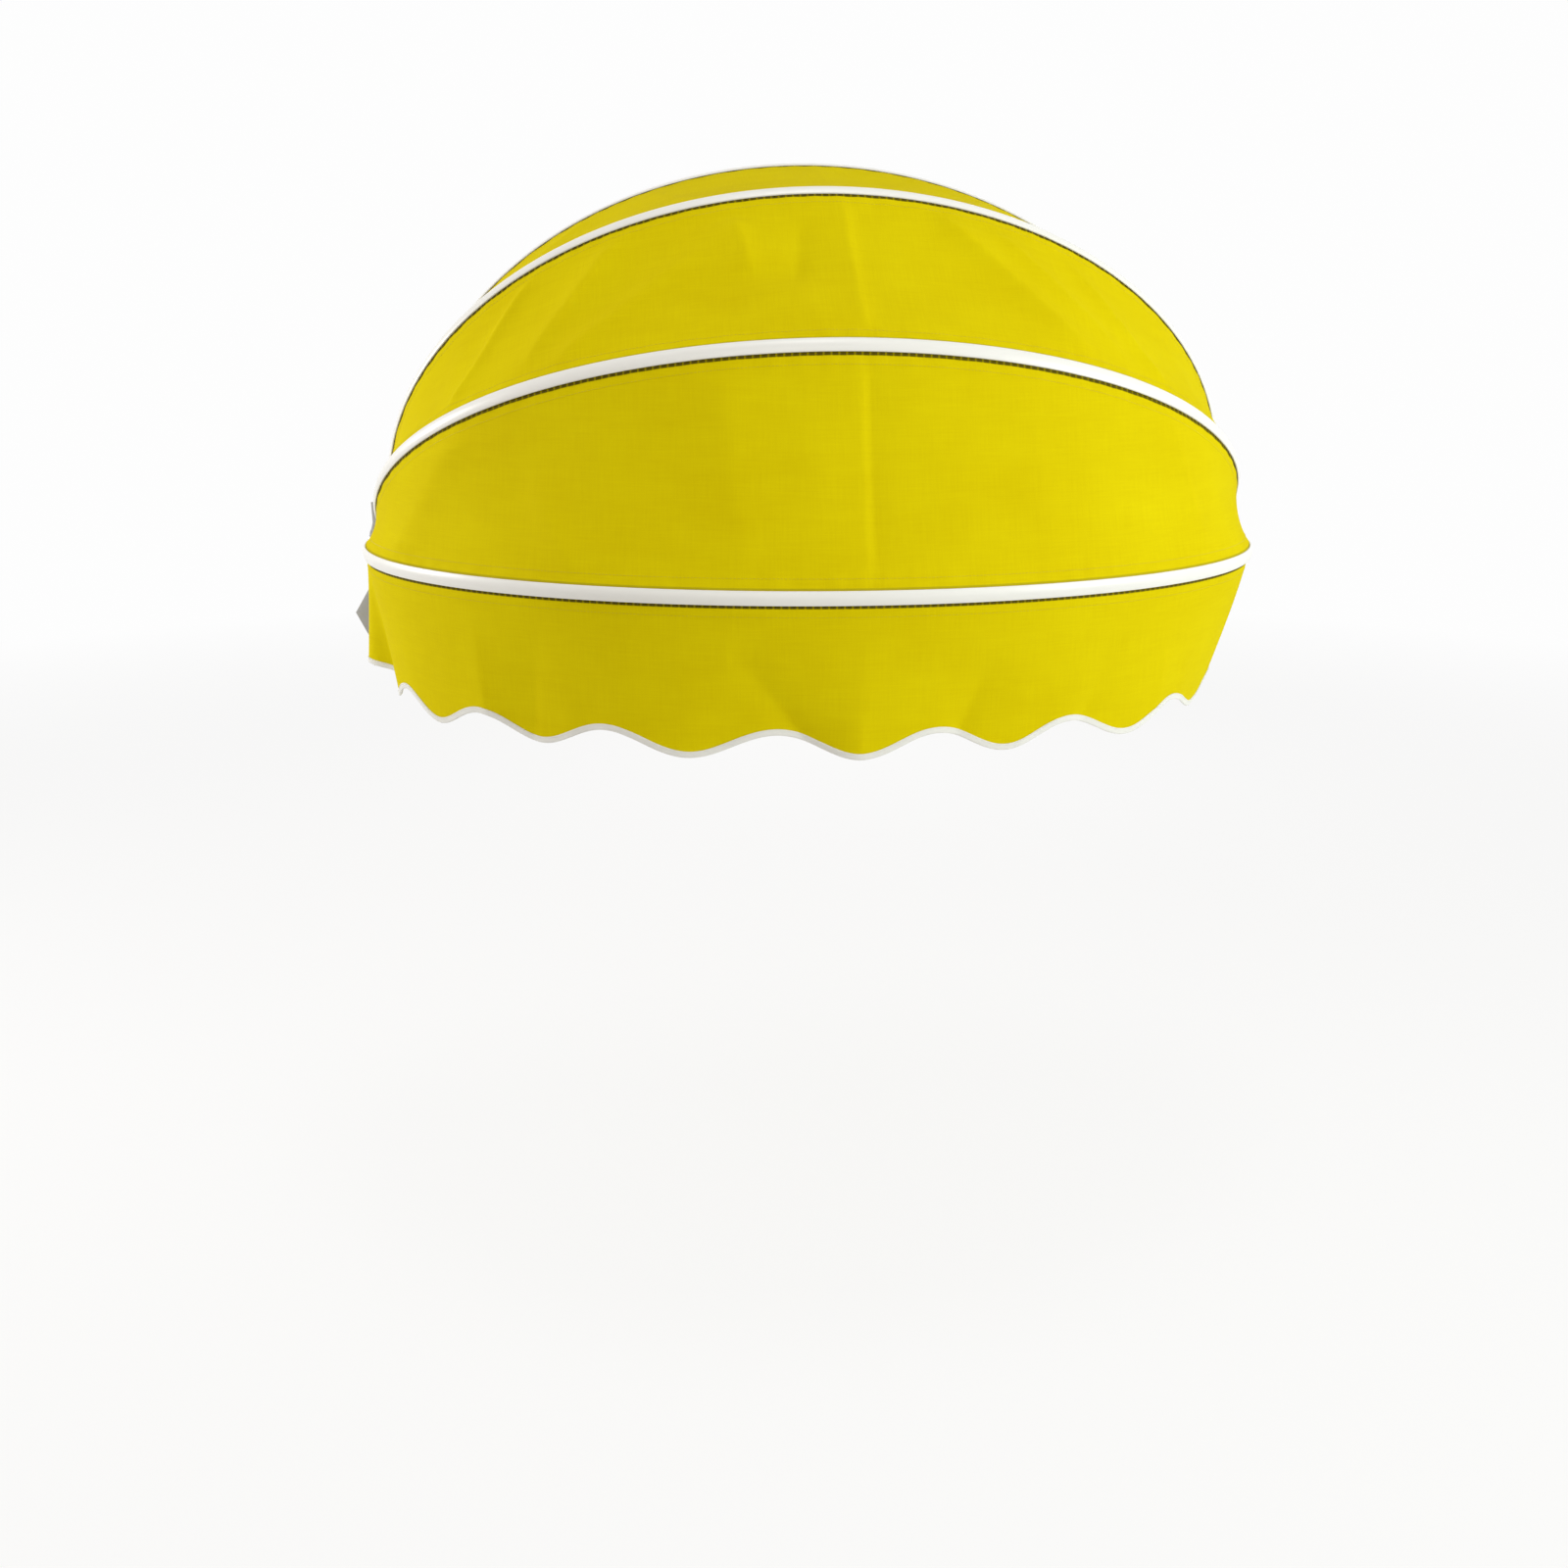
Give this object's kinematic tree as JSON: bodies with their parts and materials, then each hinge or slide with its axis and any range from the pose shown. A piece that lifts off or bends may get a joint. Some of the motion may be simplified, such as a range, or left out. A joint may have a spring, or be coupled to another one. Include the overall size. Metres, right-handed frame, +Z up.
{
  "type": "folding awning",
  "caption": "Folding dome awning for a window: nested white bows on a common side pivot, yellow fabric panels, scalloped valance and wall brackets.",
  "frame": {"origin": "centre of the top wall clip's back face, on the wall", "axes": "+X along the pivot axis to the right as seen from outside, +Y into the wall, +Z up"},
  "size_m": [1.29, 0.5495, 0.6686],
  "materials": {
    "white_bow": "white powder coat",
    "canvas": "yellow woven polyester",
    "white_tape": "woven binding tape",
    "nylon": "white moulded nylon",
    "grey_metal": "grey powder coat",
    "zinc": "zinc plate"
  },
  "bodies": {
    "root": {"rear_bow": "white_bow", "left_rear_knuckle": "nylon", "right_rear_knuckle": "nylon", "left_bracket": "grey_metal", "right_bracket": "grey_metal", "left_pivot_bolt": "zinc", "right_pivot_bolt": "zinc", "left_lock_nut": "zinc", "right_lock_nut": "zinc", "left_washer_1": "nylon", "left_washer_2": "nylon", "left_washer_3": "nylon", "left_washer_4": "nylon", "left_washer_5": "nylon", "right_washer_1": "nylon", "right_washer_2": "nylon", "right_washer_3": "nylon", "right_washer_4": "nylon", "right_washer_5": "nylon", "left_wall_clip": "grey_metal", "top_wall_clip": "grey_metal", "right_wall_clip": "grey_metal", "left_wall_clip_screw": "zinc", "top_wall_clip_screw": "zinc", "right_wall_clip_screw": "zinc"},
    "upper": {"upper_bow": "white_bow", "left_upper_knuckle": "nylon", "right_upper_knuckle": "nylon", "upper_panel": "canvas"},
    "middle": {"middle_bow": "white_bow", "left_middle_knuckle": "nylon", "right_middle_knuckle": "nylon", "middle_panel": "canvas"},
    "front": {"front_bow": "white_bow", "left_front_knuckle": "nylon", "right_front_knuckle": "nylon", "lower_panel": "canvas", "valance": "canvas", "hem_binding": "white_tape"}
  },
  "joints": [
    {"name": "upper_bow_fold", "type": "hinge", "parent": "root", "child": "upper", "pos_m": [0, -0.016, -0.45935], "axis": [-1, 0, 0], "range_deg": [0, 27], "deforming": ["upper_panel"]},
    {"name": "middle_bow_fold", "type": "hinge", "parent": "upper", "child": "middle", "pos_m": [0, -0.016, -0.45935], "axis": [-1, 0, 0], "range_deg": [0, 25], "deforming": ["middle_panel"]},
    {"name": "front_bow_fold", "type": "hinge", "parent": "middle", "child": "front", "pos_m": [0, -0.016, -0.45935], "axis": [-1, 0, 0], "range_deg": [0, 26], "deforming": ["lower_panel"]}
  ]
}
